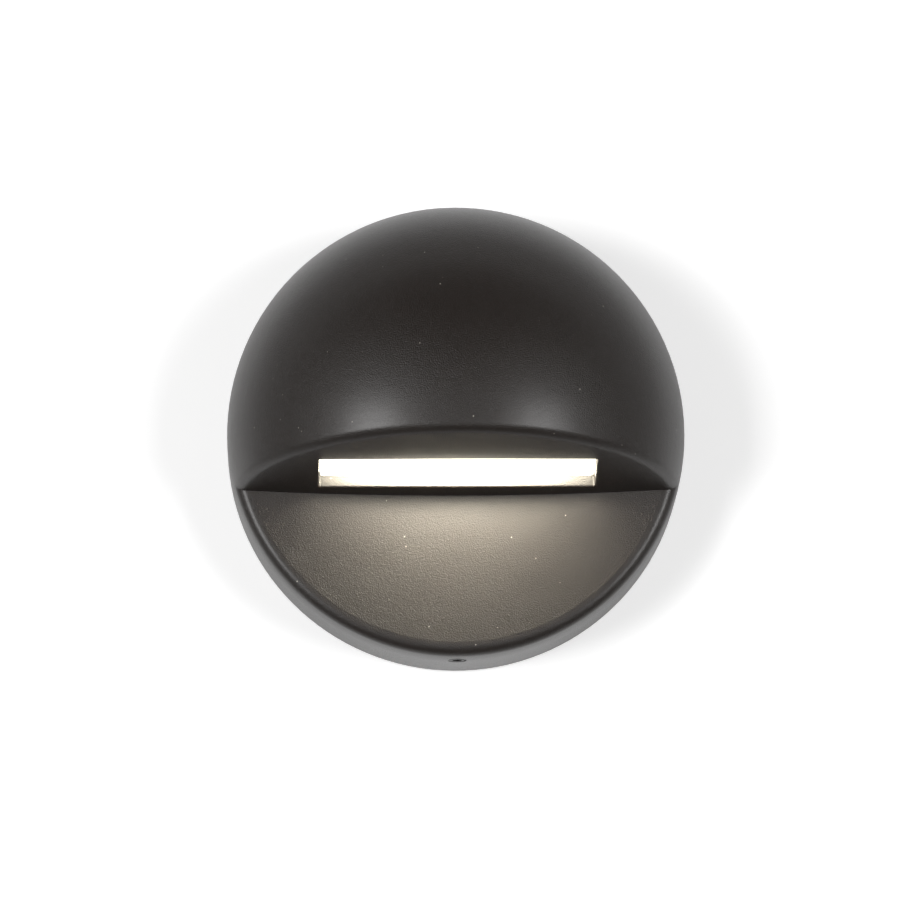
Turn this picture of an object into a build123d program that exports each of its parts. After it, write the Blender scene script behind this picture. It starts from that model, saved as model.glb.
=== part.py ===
from build123d import *
from math import atan2, cos, degrees, radians, sin, tan
import os

os.makedirs("parts", exist_ok=True)

# Round eyelid deck light for a wall or a stair riser, in millimetres.
# The origin is the centre of the wall face. +Z is up and the light faces -Y.
# A forward distance is measured from the wall, so FRONT.offset(d) is the plane d in front of it.

# Cast hood: round body, dome and rim
body_radius = 38.1
body_depth = 44.45
rim_depth = 10.7
dome_flatness = 2.55
rim_gap = 0.4
rim_wall = 2.2
dome_wall_side = 3.8
dome_wall_nose = 2.6
lip_round = 2.0

# Apron under the hood: a shallow dish with a rounded edge
apron_depth = 16.0
apron_edge_round = 1.8
apron_lip_width = 2.5
apron_dish_depth = 2.8
apron_wall = 2.4

# Underside of the hood and its light window
sill_drop = 10.2
underside_slope = 10.0
underside_wall = 2.0
underside_thickening = 0.4
window_sill = 1.4
window_end_margin = 15.3
window_front_margin = 14.1
window_corner = 0.4
window_edge_round = 0.4

# Light engine, stacked inwards from the window
seat_margin = 1.3
seat_corner = 2.0
seat_clearance = 0.3
lens_gasket_thickness = 0.8
lens_thickness = 2.0
lens_pad_clearance = 0.3
lens_front_inset = 0.15
lens_slope = 1.5
reflector_margin = 0.7
reflector_height = 5.0
reflector_mouth_wall = 0.9
throat_end_room = 8.5
throat_side_room = 1.5
led_board_front = 6.2
led_board_back = 7.6
led_board_thickness = 1.6
led_count = 3
led_pitch = 9.0
led_size = 3.0
led_height = 0.7
thermal_pad_thickness = 0.5
sink_front = 6.0
sink_back = 5.0
sink_base_thickness = 2.5
sink_ear_width = 5.2
sink_ear_overhang = 2.2
sink_hole_clearance = 0.2
sink_fin_count = 9
sink_fin_pitch = 5.0
sink_fin_thickness = 1.2
sink_fin_height = 5.6
sink_boss_gap = 0.5
sink_boss_radius = 3.4
sink_screw_radius = 1.25
sink_screw_length = 9.0
sink_screw_head_radius = 2.2
sink_screw_head_height = 1.8
sink_screw_crown_round = 0.8
sink_screw_socket = 2.0
sink_screw_socket_depth = 1.1

# Back cover over the dome chamber
cover_seat = 8.0
cover_thickness = 2.0
cover_gap = 0.3
cover_gasket_thickness = 1.0
cover_gasket_width = 2.4
cover_screw_inset = 2.8
cover_screw_angles = (-8.0, 42.0, 138.0, 188.0)
cover_screw_radius = 1.5
cover_screw_length = 8.0
cover_screw_head_radius = 2.8
cover_screw_head_height = 1.8
cover_screw_crown_round = 0.8
cover_screw_socket = 2.5
cover_screw_socket_depth = 1.1
cover_boss_radius = 3.2
cover_boss_depth = 9.0

# Lead grommet in the back cover
grommet_bore_radius = 1.7
grommet_neck_radius = 5.0
grommet_flange_radius = 6.6
grommet_flange_thickness = 1.4
grommet_edge_round = 0.5

# Driver board and its components
driver_length = 34.0
driver_width = 20.0
driver_edge_gap = 1.55
driver_thickness = 1.6
driver_corner = 1.5
driver_post_span = 24.0
driver_post_radius = 2.4
driver_screw_radius = 0.9
driver_screw_length = 5.0
driver_screw_head_radius = 1.9
driver_screw_head_height = 1.5
driver_screw_crown_round = 0.7
driver_screw_socket = 1.7
driver_screw_socket_depth = 0.9
inductor_radius = 4.0
inductor_core_radius = 2.6
inductor_height = 6.0
inductor_flange = 1.0
inductor_place = (-5.0, 4.0)
capacitor_radius = 3.15
capacitor_height = 8.0
capacitor_place = (5.5, 4.5)
rectifier_size = (6.0, 5.0)
rectifier_height = 2.4
rectifier_place = (5.0, -4.5)
chip_size = (5.0, 4.0)
chip_height = 1.6
chip_place = (-5.0, -4.0)
lead_radius = 0.6
lead_run = 3.3
lead_bend = 2.0
lead_spacing = 24.0
lead_drop = 1.2
lead_pad_gap = 0.15

# Wall plate, its gasket and the locking screw
wall_gasket_thickness = 1.0
plate_thickness = 1.5
plate_gap = 0.7
plate_bend_radius = 0.8
plate_relief_width = 1.2
plate_relief_depth = 4.0
lead_hole_radius = 8.0
wall_screw_spacing = 44.45
wall_slot_length = 9.0
wall_slot_width = 4.4
wall_gasket_hole_radius = 5.5
lock_tab_width = 12.0
lock_tab_front_gap = 0.4
top_tab_width = 14.0
top_tab_gap = 0.5
top_tab_front_gap = 0.5
lock_screw_edge = 1.15
lock_screw_radius = 1.5
lock_screw_length = 4.0
lock_screw_inset = 0.05
lock_screw_socket = 1.5
lock_screw_socket_depth = 1.6
lock_screw_point = 0.5
lock_screw_tip_gap = 0.1
lock_screw_clearance = 0.05
lock_boss_radius = 3.4
lock_boss_rise = 1.4
edge_break = 0.4

# Planes, all worked out from the sizes above
FRONT = Plane.XZ
slope = radians(underside_slope)
window_width = 2 * (body_radius - window_end_margin)
window_depth = (body_depth - apron_depth - window_front_margin) / cos(slope) - window_sill
window_offset = window_sill + window_depth / 2
window_centre = (0, -apron_depth - window_offset * cos(slope), -sill_drop + window_offset * sin(slope))
UNDERSIDE = Plane(origin=window_centre, x_dir=(1, 0, 0), z_dir=(0, sin(slope), cos(slope)))

# The lens's outer face lies nearly level: almost flush at the front of the window, sunk at its back
lens_tilt = radians(lens_slope)
lens_front_edge = UNDERSIDE.from_local_coords((0, lens_pad_clearance - window_depth / 2, lens_front_inset))
LENS_FACE = Plane(origin=lens_front_edge, x_dir=(1, 0, 0), z_dir=(0, sin(lens_tilt), cos(lens_tilt)))

# Heights of the light engine's layers above the underside
lens_base = underside_wall + lens_gasket_thickness
reflector_base = lens_base + lens_thickness
led_board_base = reflector_base + reflector_height
thermal_pad_base = led_board_base + led_board_thickness
sink_base = thermal_pad_base + thermal_pad_thickness
sink_top = sink_base + sink_base_thickness

# Lengths and widths of the light engine, from the window outwards
seat_length = window_width + 2 * seat_margin
seat_width = window_depth + 2 * seat_margin
pad_length = window_width - 2 * lens_pad_clearance
pad_width = window_depth - 2 * lens_pad_clearance
engine_length = window_width + 2 * reflector_margin
reflector_width = window_depth + 2 * reflector_margin
mouth_length = engine_length - 2 * reflector_mouth_wall
mouth_width = reflector_width - 2 * reflector_mouth_wall
throat_length = led_pitch * (led_count - 1) + led_size + 2 * throat_end_room
throat_width = led_size + 2 * throat_side_room
sink_width = sink_front + sink_back
sink_middle = (sink_back - sink_front) / 2
sink_boss_span = seat_length + 2 * (sink_boss_radius + sink_boss_gap)

# Forward distances and radii that follow from the sizes above
pocket_radius = body_radius - rim_wall
chamber_radius = body_radius - dome_wall_side
chamber_nose = body_depth - dome_wall_nose
chamber_flatness = dome_flatness + dome_wall_side - dome_wall_nose
cover_front = cover_seat - cover_gasket_thickness
cover_back = cover_front - cover_thickness
cover_radius = pocket_radius - cover_gap
cover_screw_circle = chamber_radius - cover_screw_inset
plate_front = wall_gasket_thickness + plate_thickness
plate_radius = pocket_radius - plate_gap
dish_radius = body_radius - apron_lip_width
dish_sphere_radius = (dish_radius**2 + apron_dish_depth**2) / (2 * apron_dish_depth)
dish_centre = apron_depth - apron_dish_depth + dish_sphere_radius
lock_screw_outer = body_radius - lock_screw_inset
lock_tab_edge = lock_screw_outer - lock_screw_length - lock_screw_tip_gap
lock_tab_inner = lock_tab_edge - plate_thickness
lock_boss_top = pocket_radius - lock_boss_rise
top_tab_edge = ((pocket_radius - top_tab_gap) ** 2 - (top_tab_width / 2) ** 2) ** 0.5

# The tabs stop short of what lies in front of them: the apron's inner face and the back cover
apron_inner_radius = dish_sphere_radius + apron_wall
lock_tab_reach = dish_centre - (apron_inner_radius**2 - lock_tab_inner**2) ** 0.5 - lock_tab_front_gap
top_tab_reach = cover_back - top_tab_front_gap
lock_screw_depth = lock_tab_reach - lock_screw_edge

# The driver board stands a lead's run behind the solder pads, its upper corners clear of the dome
pad_across = (sink_back + led_board_back) / 2
pad_point = UNDERSIDE.offset(thermal_pad_base).from_local_coords((0, pad_across, 0))
driver_front = -pad_point.Y - lead_run
driver_back = driver_front - driver_thickness
driver_post_height = driver_back - cover_front
driver_top = ((chamber_radius - driver_edge_gap) ** 2 - (driver_length / 2) ** 2) ** 0.5
driver_centre_height = driver_top - driver_width / 2

# The back cover's straight edge lies level with the lower face of the chamber wall
chord_run = cover_seat - apron_depth
chord_height = chord_run * tan(slope) - sill_drop - underside_thickening / cos(slope)

# Places of the fasteners in their own planes
sink_screw_places = [(-sink_boss_span / 2, 0), (sink_boss_span / 2, 0)]
driver_screw_places = [(-driver_post_span / 2, 0), (driver_post_span / 2, 0)]
cover_screw_places = [
    (cover_screw_circle * cos(radians(angle)), cover_screw_circle * sin(radians(angle)))
    for angle in cover_screw_angles
]


def driver_plane(forward):
    """Plane at a forward distance with its origin at the centre of the driver board."""
    return Plane(origin=(0, -forward, driver_centre_height), x_dir=(1, 0, 0), z_dir=(0, -1, 0))


def facing_back(forward):
    """Plane at a forward distance whose normal points at the wall, with +Z up in it."""
    return Plane(origin=(0, -forward, 0), x_dir=(-1, 0, 0), z_dir=(0, 1, 0))


def dome_profile(radius, back, side, nose, flatness):
    """Half section of a dome on the Y axis: a straight side and a quarter oval of two tangent arcs.

    The smaller arc is less than the shorter half axis by the flatness.
    """
    rise = nose - side
    small = min(radius, rise) - flatness
    large = (radius**2 + rise**2 - 2 * max(radius, rise) * small) / (2 * flatness)
    shoulder, crown = (small, large) if radius > rise else (large, small)
    tilt = degrees(atan2(abs(crown - rise), abs(radius - shoulder)))
    with BuildSketch() as profile:
        with BuildLine():
            Polyline((0, -nose), (0, -back), (radius, -back), (radius, -side))
            CenterArc((radius - shoulder, -side), shoulder, start_angle=-tilt, arc_size=tilt)
            CenterArc((0, crown - nose), crown, start_angle=-90, arc_size=90 - tilt)
        make_face()
    return profile.sketch


def d_shape(radius, chord):
    """Disc cut off below a chord, which is the outline of the dome chamber seen from behind."""
    with BuildSketch() as outline:
        Circle(radius)
        with Locations((0, chord + radius)):
            Rectangle(2 * radius, 2 * radius, mode=Mode.INTERSECT)
    return outline.sketch


def pan_heads(seat, places, radius, height, crown_round, socket, socket_depth):
    """Round screw heads standing on a seat plane, each with a hexagon socket."""
    with BuildPart() as heads:
        with BuildSketch(seat):
            with Locations(*places):
                Circle(radius)
        extrude(amount=height)
        fillet(edges().group_by(Axis(seat.origin, seat.z_dir))[-1], radius=crown_round)
        with BuildSketch(seat.offset(height)):
            with Locations(*places):
                RegularPolygon(socket / 2, side_count=6, major_radius=False)
        extrude(amount=-socket_depth, mode=Mode.SUBTRACT)
    return heads.part


# Hollow of the dome: what the casting leaves open above the underside, round its screw bosses
with BuildPart() as chamber_core:
    with BuildSketch():
        add(dome_profile(chamber_radius, cover_seat, rim_depth, chamber_nose, chamber_flatness))
    revolve(axis=Axis.Y)
    split(bisect_by=UNDERSIDE.offset(underside_wall), keep=Keep.TOP)
    with BuildSketch(UNDERSIDE.offset(underside_wall)):
        RectangleRounded(seat_length + 2 * seat_clearance, seat_width + 2 * seat_clearance, seat_corner)
    extrude(amount=reflector_base - underside_wall)
    with BuildSketch(UNDERSIDE.offset(sink_base)):
        with Locations(*sink_screw_places):
            Circle(sink_screw_head_radius + seat_clearance)
    extrude(amount=sink_base_thickness + sink_screw_head_height + seat_clearance)
    with BuildSketch(UNDERSIDE):
        with Locations(*sink_screw_places):
            Circle(sink_boss_radius)
    extrude(amount=sink_base, mode=Mode.SUBTRACT)
    with BuildSketch(FRONT.offset(cover_seat)):
        with Locations(*cover_screw_places):
            Circle(cover_boss_radius)
    extrude(amount=cover_boss_depth, mode=Mode.SUBTRACT)

# Hollow behind the apron, with room for the lead's splices, round the boss of the locking screw
with BuildPart() as wiring_core:
    with BuildSketch():
        with Locations((0, -apron_depth / 2)):
            Rectangle(2 * pocket_radius, apron_depth)
        with Locations((0, -dish_centre)):
            Circle(apron_inner_radius, mode=Mode.SUBTRACT)
        with Locations((-pocket_radius, -apron_depth / 2)):
            Rectangle(2 * pocket_radius, 2 * apron_depth, mode=Mode.SUBTRACT)
    revolve(axis=Axis.Y)
    split(bisect_by=UNDERSIDE.offset(-underside_thickening), keep=Keep.BOTTOM)
    with BuildSketch(Plane.XY.offset(-lock_boss_top)):
        with Locations((0, -lock_screw_depth)):
            Circle(lock_boss_radius)
    extrude(amount=-body_radius, mode=Mode.SUBTRACT)

# Hood: dome above the underside, round base with the dished apron, then the hollows and holes
with BuildPart() as hood:
    with BuildSketch():
        add(dome_profile(body_radius, rim_gap, rim_depth, body_depth, dome_flatness))
    revolve(axis=Axis.Y)
    split(bisect_by=UNDERSIDE, keep=Keep.TOP)
    underside_edges = faces().filter_by(UNDERSIDE).edges().sort_by(Axis.Y)
    fillet(underside_edges[:-1], radius=lip_round)
    with BuildSketch():
        add(dome_profile(body_radius, rim_gap, rim_depth, body_depth, dome_flatness))
        with Locations((0, -apron_depth / 2)):
            Rectangle(2 * body_radius, apron_depth, mode=Mode.INTERSECT)
        fillet(vertices().group_by(Axis.Y)[0].sort_by(Axis.X)[-1], radius=apron_edge_round)
        with Locations((0, -dish_centre)):
            Circle(dish_sphere_radius, mode=Mode.SUBTRACT)
    revolve(axis=Axis.Y)
    with BuildSketch(FRONT):
        Circle(pocket_radius)
    extrude(amount=cover_seat, mode=Mode.SUBTRACT)
    add(chamber_core.part, mode=Mode.SUBTRACT)
    add(wiring_core.part, mode=Mode.SUBTRACT)
    with BuildSketch(UNDERSIDE.offset(-underside_wall)):
        RectangleRounded(window_width, window_depth, window_corner)
    extrude(amount=3 * underside_wall, mode=Mode.SUBTRACT)
    mouth_edges = edges(Select.LAST).group_by(Axis(UNDERSIDE.origin, UNDERSIDE.z_dir))[0]
    fillet(mouth_edges, radius=window_edge_round)
    with BuildSketch(UNDERSIDE.offset(sink_base)):
        with Locations(*sink_screw_places):
            Circle(sink_screw_radius)
    extrude(amount=sink_base_thickness - sink_screw_length, mode=Mode.SUBTRACT)
    with BuildSketch(FRONT.offset(cover_seat)):
        with Locations(*cover_screw_places):
            Circle(cover_screw_radius)
    extrude(amount=cover_screw_length, mode=Mode.SUBTRACT)
    with BuildSketch(Plane.XY.offset(-lock_tab_edge)):
        with Locations((0, -lock_screw_depth)):
            Circle(lock_screw_radius + lock_screw_clearance)
    extrude(amount=-body_radius, mode=Mode.SUBTRACT)
hood.part.label = "hood"
export_step(hood.part, "parts/hood.step")

# Gasket between the lens flange and the wall round the window
with BuildPart() as lens_gasket:
    with BuildSketch(UNDERSIDE.offset(underside_wall)):
        RectangleRounded(seat_length, seat_width, seat_corner)
        RectangleRounded(window_width, window_depth, window_corner, mode=Mode.SUBTRACT)
    extrude(amount=lens_gasket_thickness)
lens_gasket.part.label = "lens_gasket"
export_step(lens_gasket.part, "parts/lens_gasket.step")

# Lens: a flange on the gasket and a wedge that fills the window down to the nearly level outer face
with BuildPart() as lens:
    with BuildSketch(UNDERSIDE.offset(lens_base)):
        RectangleRounded(seat_length, seat_width, seat_corner)
    extrude(amount=lens_thickness)
    with BuildSketch(UNDERSIDE.offset(lens_base)):
        RectangleRounded(pad_length, pad_width, window_corner)
    extrude(amount=-lens_base)
    split(bisect_by=LENS_FACE, keep=Keep.TOP)
lens.part.label = "lens"
export_step(lens.part, "parts/lens.step")

# Reflector: a white frame that widens from the light sources to the lens
with BuildPart() as reflector:
    with BuildSketch(UNDERSIDE.offset(reflector_base)):
        RectangleRounded(engine_length, reflector_width, seat_corner)
    extrude(amount=reflector_height)
    with BuildSketch(UNDERSIDE.offset(reflector_base)):
        RectangleRounded(mouth_length, mouth_width, window_corner)
    with BuildSketch(UNDERSIDE.offset(reflector_base + reflector_height)):
        RectangleRounded(throat_length, throat_width, window_corner)
    loft(mode=Mode.SUBTRACT)
reflector.part.label = "reflector"
export_step(reflector.part, "parts/reflector.step")

# Board of the light sources, with its solder strip standing out behind the heat sink
with BuildPart() as led_board:
    with BuildSketch(UNDERSIDE.offset(led_board_base)):
        with Locations((0, (led_board_back - led_board_front) / 2)):
            RectangleRounded(engine_length, led_board_front + led_board_back, window_corner)
    extrude(amount=led_board_thickness)
led_board.part.label = "led_board"
export_step(led_board.part, "parts/led_board.step")

# Light sources in a row under the board
with BuildPart() as led_chips:
    with BuildSketch(UNDERSIDE.offset(led_board_base)):
        with GridLocations(led_pitch, led_size, led_count, 1):
            RectangleRounded(led_size, led_size, edge_break)
    extrude(amount=-led_height)
led_chips.part.label = "led_chips"
export_step(led_chips.part, "parts/led_chips.step")

# Thermal pad between the board and the heat sink
with BuildPart() as thermal_pad:
    with BuildSketch(UNDERSIDE.offset(thermal_pad_base)):
        with Locations((0, sink_middle)):
            Rectangle(engine_length, sink_width)
    extrude(amount=thermal_pad_thickness)
thermal_pad.part.label = "thermal_pad"
export_step(thermal_pad.part, "parts/thermal_pad.step")

# Heat sink: a finned bar whose two ears lie on the hood's bosses
with BuildPart() as heat_sink:
    with BuildSketch(UNDERSIDE.offset(sink_base)):
        with Locations((0, sink_middle)):
            Rectangle(engine_length, sink_width)
        SlotOverall(sink_boss_span + 2 * sink_ear_overhang, sink_ear_width)
        with Locations(*sink_screw_places):
            Circle(sink_screw_radius + sink_hole_clearance, mode=Mode.SUBTRACT)
    extrude(amount=sink_base_thickness)
    with BuildSketch(UNDERSIDE.offset(sink_top)):
        with Locations((0, sink_middle)):
            with GridLocations(sink_fin_pitch, sink_fin_pitch, sink_fin_count, 1):
                Rectangle(sink_fin_thickness, sink_width)
    extrude(amount=sink_fin_height)
heat_sink.part.label = "heat_sink"
export_step(heat_sink.part, "parts/heat_sink.step")

# Screws that hold the heat sink's ears on the hood's bosses
heat_sink_screws_heads = pan_heads(
    UNDERSIDE.offset(sink_top),
    sink_screw_places,
    sink_screw_head_radius,
    sink_screw_head_height,
    sink_screw_crown_round,
    sink_screw_socket,
    sink_screw_socket_depth,
)
with BuildPart() as heat_sink_screws:
    add(heat_sink_screws_heads)
    with BuildSketch(UNDERSIDE.offset(sink_top)):
        with Locations(*sink_screw_places):
            Circle(sink_screw_radius)
    extrude(amount=-sink_screw_length)
heat_sink_screws.part.label = "heat_sink_screws"
export_step(heat_sink_screws.part, "parts/heat_sink_screws.step")

# Gasket under the back cover, with a lobe round each screw boss
with BuildPart() as back_gasket:
    with BuildSketch(FRONT.offset(cover_front)):
        add(d_shape(cover_radius, chord_height))
        inner_radius = cover_radius - cover_gasket_width
        add(d_shape(inner_radius, chord_height + cover_gasket_width), mode=Mode.SUBTRACT)
        with Locations(*cover_screw_places):
            Circle(cover_boss_radius)
        with Locations(*cover_screw_places):
            Circle(cover_screw_radius, mode=Mode.SUBTRACT)
    extrude(amount=cover_gasket_thickness)
back_gasket.part.label = "back_gasket"
export_step(back_gasket.part, "parts/back_gasket.step")

# Back cover: closes the dome chamber and carries the driver board on two posts
with BuildPart() as back_cover:
    with BuildSketch(FRONT.offset(cover_back)):
        add(d_shape(cover_radius, chord_height))
        with Locations(*cover_screw_places):
            Circle(cover_screw_radius, mode=Mode.SUBTRACT)
        Circle(grommet_neck_radius, mode=Mode.SUBTRACT)
    extrude(amount=cover_thickness)
    rear_outline = faces().sort_by(Axis.Y)[-1].outer_wire().edges()
    chamfer(rear_outline, length=edge_break)
    with BuildSketch(driver_plane(cover_front)):
        with Locations(*driver_screw_places):
            Circle(driver_post_radius)
    extrude(amount=driver_post_height)
    with BuildSketch(driver_plane(driver_back)):
        with Locations(*driver_screw_places):
            Circle(driver_screw_radius)
    extrude(amount=driver_thickness - driver_screw_length, mode=Mode.SUBTRACT)
back_cover.part.label = "back_cover"
export_step(back_cover.part, "parts/back_cover.step")

# Screws that hold the back cover, with their heads towards the wall
cover_screws_heads = pan_heads(
    facing_back(cover_back),
    cover_screw_places,
    cover_screw_head_radius,
    cover_screw_head_height,
    cover_screw_crown_round,
    cover_screw_socket,
    cover_screw_socket_depth,
)
with BuildPart() as cover_screws:
    add(cover_screws_heads)
    with BuildSketch(facing_back(cover_back)):
        with Locations(*cover_screw_places):
            Circle(cover_screw_radius)
    extrude(amount=-cover_screw_length)
cover_screws.part.label = "cover_screws"
export_step(cover_screws.part, "parts/cover_screws.step")

# Grommet: a rubber ring that grips the edge of the cover's lead hole
with BuildPart() as cable_grommet:
    with BuildSketch(FRONT.offset(cover_back - grommet_flange_thickness)):
        Circle(grommet_flange_radius)
    extrude(amount=grommet_flange_thickness)
    with BuildSketch(FRONT.offset(cover_back)):
        Circle(grommet_neck_radius)
    extrude(amount=cover_thickness)
    with BuildSketch(FRONT.offset(cover_front)):
        Circle(grommet_flange_radius)
    extrude(amount=grommet_flange_thickness)
    rims = edges().filter_by(GeomType.CIRCLE).group_by(Axis.Y)
    fillet(rims[0] + rims[-1], radius=grommet_edge_round)
    with BuildSketch(FRONT.offset(cover_back - grommet_flange_thickness)):
        Circle(grommet_bore_radius)
    extrude(amount=cover_thickness + 2 * grommet_flange_thickness, mode=Mode.SUBTRACT)
cable_grommet.part.label = "cable_grommet"
export_step(cable_grommet.part, "parts/cable_grommet.step")

# Driver board on the cover's posts
with BuildPart() as driver_board:
    with BuildSketch(driver_plane(driver_back)):
        RectangleRounded(driver_length, driver_width, driver_corner)
        with Locations(*driver_screw_places):
            Circle(driver_screw_radius, mode=Mode.SUBTRACT)
    extrude(amount=driver_thickness)
driver_board.part.label = "driver_board"
export_step(driver_board.part, "parts/driver_board.step")

# Screws that hold the driver board on the cover's posts
driver_screws_heads = pan_heads(
    driver_plane(driver_front),
    driver_screw_places,
    driver_screw_head_radius,
    driver_screw_head_height,
    driver_screw_crown_round,
    driver_screw_socket,
    driver_screw_socket_depth,
)
with BuildPart() as driver_screws:
    add(driver_screws_heads)
    with BuildSketch(driver_plane(driver_front)):
        with Locations(*driver_screw_places):
            Circle(driver_screw_radius)
    extrude(amount=-driver_screw_length)
driver_screws.part.label = "driver_screws"
export_step(driver_screws.part, "parts/driver_screws.step")

# Drum inductor: two flanges on a wound core
with BuildPart() as driver_inductor:
    with BuildSketch(driver_plane(driver_front)):
        with Locations(inductor_place):
            Circle(inductor_radius)
    extrude(amount=inductor_height)
    with BuildSketch(driver_plane(driver_front + inductor_flange)):
        with Locations(inductor_place):
            Circle(inductor_radius)
            Circle(inductor_core_radius, mode=Mode.SUBTRACT)
    extrude(amount=inductor_height - 2 * inductor_flange, mode=Mode.SUBTRACT)
driver_inductor.part.label = "driver_inductor"
export_step(driver_inductor.part, "parts/driver_inductor.step")

# Electrolytic capacitor standing on the board
with BuildPart() as driver_capacitor:
    with BuildSketch(driver_plane(driver_front)):
        with Locations(capacitor_place):
            Circle(capacitor_radius)
    extrude(amount=capacitor_height)
    fillet(faces().sort_by(Axis.Y)[0].edges(), radius=edge_break)
driver_capacitor.part.label = "driver_capacitor"
export_step(driver_capacitor.part, "parts/driver_capacitor.step")

# Bridge rectifier
with BuildPart() as driver_rectifier:
    with BuildSketch(driver_plane(driver_front)):
        with Locations(rectifier_place):
            Rectangle(*rectifier_size)
    extrude(amount=rectifier_height)
    chamfer(faces().sort_by(Axis.Y)[0].edges(), length=edge_break)
driver_rectifier.part.label = "driver_rectifier"
export_step(driver_rectifier.part, "parts/driver_rectifier.step")

# Current regulator chip
with BuildPart() as driver_chip:
    with BuildSketch(driver_plane(driver_front)):
        with Locations(chip_place):
            Rectangle(*chip_size)
    extrude(amount=chip_height)
    chamfer(faces().sort_by(Axis.Y)[0].edges(), length=edge_break)
driver_chip.part.label = "driver_chip"
export_step(driver_chip.part, "parts/driver_chip.step")

# Two short leads from the foot of the driver board to the solder strip of the light sources
lead_start_height = driver_centre_height - driver_width / 2 + lead_drop
with BuildPart() as led_leads:
    for side in (-1, 1):
        lead_x = side * lead_spacing / 2
        with BuildLine() as lead_path:
            FilletPolyline(
                (lead_x, -driver_front, lead_start_height),
                (lead_x, pad_point.Y, lead_start_height),
                (lead_x, pad_point.Y, pad_point.Z + lead_pad_gap + lead_radius * sin(slope)),
                radius=lead_bend,
            )
        with BuildSketch(Plane(origin=lead_path.line @ 0, z_dir=lead_path.line % 0)):
            Circle(lead_radius)
        sweep(path=lead_path.line)
led_leads.part.label = "led_leads"
export_step(led_leads.part, "parts/led_leads.step")

# Foam gasket between the wall plate and the wall
with BuildPart() as wall_gasket:
    with BuildSketch(FRONT):
        Circle(plate_radius)
        with Locations((0, (top_tab_edge - lock_tab_edge) / 2)):
            Rectangle(2 * plate_radius, top_tab_edge + lock_tab_edge, mode=Mode.INTERSECT)
        Circle(lead_hole_radius, mode=Mode.SUBTRACT)
        with GridLocations(wall_screw_spacing, 1, 2, 1):
            Circle(wall_gasket_hole_radius, mode=Mode.SUBTRACT)
    extrude(amount=wall_gasket_thickness)
wall_gasket.part.label = "wall_gasket"
export_step(wall_gasket.part, "parts/wall_gasket.step")


def folded_tab(edge, reach, width, above):
    """Tab folded forward from the plate at height `edge`, up for above=1 or down for above=-1."""
    back = wall_gasket_thickness
    root = edge - plate_relief_depth
    inner = edge - plate_thickness
    with BuildPart() as tab:
        with BuildSketch(Plane.YZ.offset(-width / 2)):
            with BuildLine():
                Polyline(
                    (-back, above * root),
                    (-back, above * edge),
                    (-reach, above * edge),
                    (-reach, above * inner),
                    (-plate_front, above * inner),
                    (-plate_front, above * root),
                    close=True,
                )
            make_face()
            outside_bend = vertices().sort_by_distance((-back, above * edge))[0]
            fillet(outside_bend, radius=plate_bend_radius + plate_thickness)
            inside_bend = vertices().sort_by_distance((-plate_front, above * inner))[0]
            fillet(inside_bend, radius=plate_bend_radius)
        extrude(amount=width)
    return tab.part


# Wall plate: a pressed disc with slots for the wall screws, a lead hole and two folded tabs
lock_tab = folded_tab(lock_tab_edge, lock_tab_reach, lock_tab_width, -1)
top_tab = folded_tab(top_tab_edge, top_tab_reach, top_tab_width, 1)
with BuildPart() as wall_plate:
    with BuildSketch(FRONT.offset(wall_gasket_thickness)):
        Circle(plate_radius)
        with Locations((0, (top_tab_edge - lock_tab_edge) / 2)):
            Rectangle(2 * plate_radius, top_tab_edge + lock_tab_edge, mode=Mode.INTERSECT)
        for edge, width, above in ((lock_tab_edge, lock_tab_width, -1), (top_tab_edge, top_tab_width, 1)):
            with Locations((0, above * edge)):
                notch_width = width + 2 * plate_relief_width
                Rectangle(notch_width, 2 * plate_relief_depth, mode=Mode.SUBTRACT)
        Circle(lead_hole_radius, mode=Mode.SUBTRACT)
        with GridLocations(wall_screw_spacing, 1, 2, 1):
            SlotOverall(wall_slot_length, wall_slot_width, mode=Mode.SUBTRACT)
    extrude(amount=plate_thickness)
    add(lock_tab)
    add(top_tab)
wall_plate.part.label = "wall_plate"
export_step(wall_plate.part, "parts/wall_plate.step")

# Locking screw: a headless screw with a hexagon socket at the foot of the rim
with BuildPart() as lock_screw:
    with BuildSketch(Plane.XY.offset(-lock_screw_outer)):
        with Locations((0, -lock_screw_depth)):
            Circle(lock_screw_radius)
    extrude(amount=lock_screw_length)
    chamfer(faces().sort_by(Axis.Z)[-1].edges(), length=lock_screw_point)
    with BuildSketch(Plane.XY.offset(-lock_screw_outer)):
        with Locations((0, -lock_screw_depth)):
            RegularPolygon(lock_screw_socket / 2, side_count=6, major_radius=False)
    extrude(amount=lock_screw_socket_depth, mode=Mode.SUBTRACT)
lock_screw.part.label = "lock_screw"
export_step(lock_screw.part, "parts/lock_screw.step")
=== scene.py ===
"""Round eyelid deck light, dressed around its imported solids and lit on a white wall.

The row frame is metres with +Z up. The wall is the plane y = 0 and the light looks
towards -Y, so a distance forward of the wall is -y.
"""

import logging
import math
from collections.abc import Callable, Iterator
from contextlib import contextmanager
from dataclasses import dataclass
from enum import Enum
from typing import Any

import bpy
from mathutils import Matrix, Vector


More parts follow.
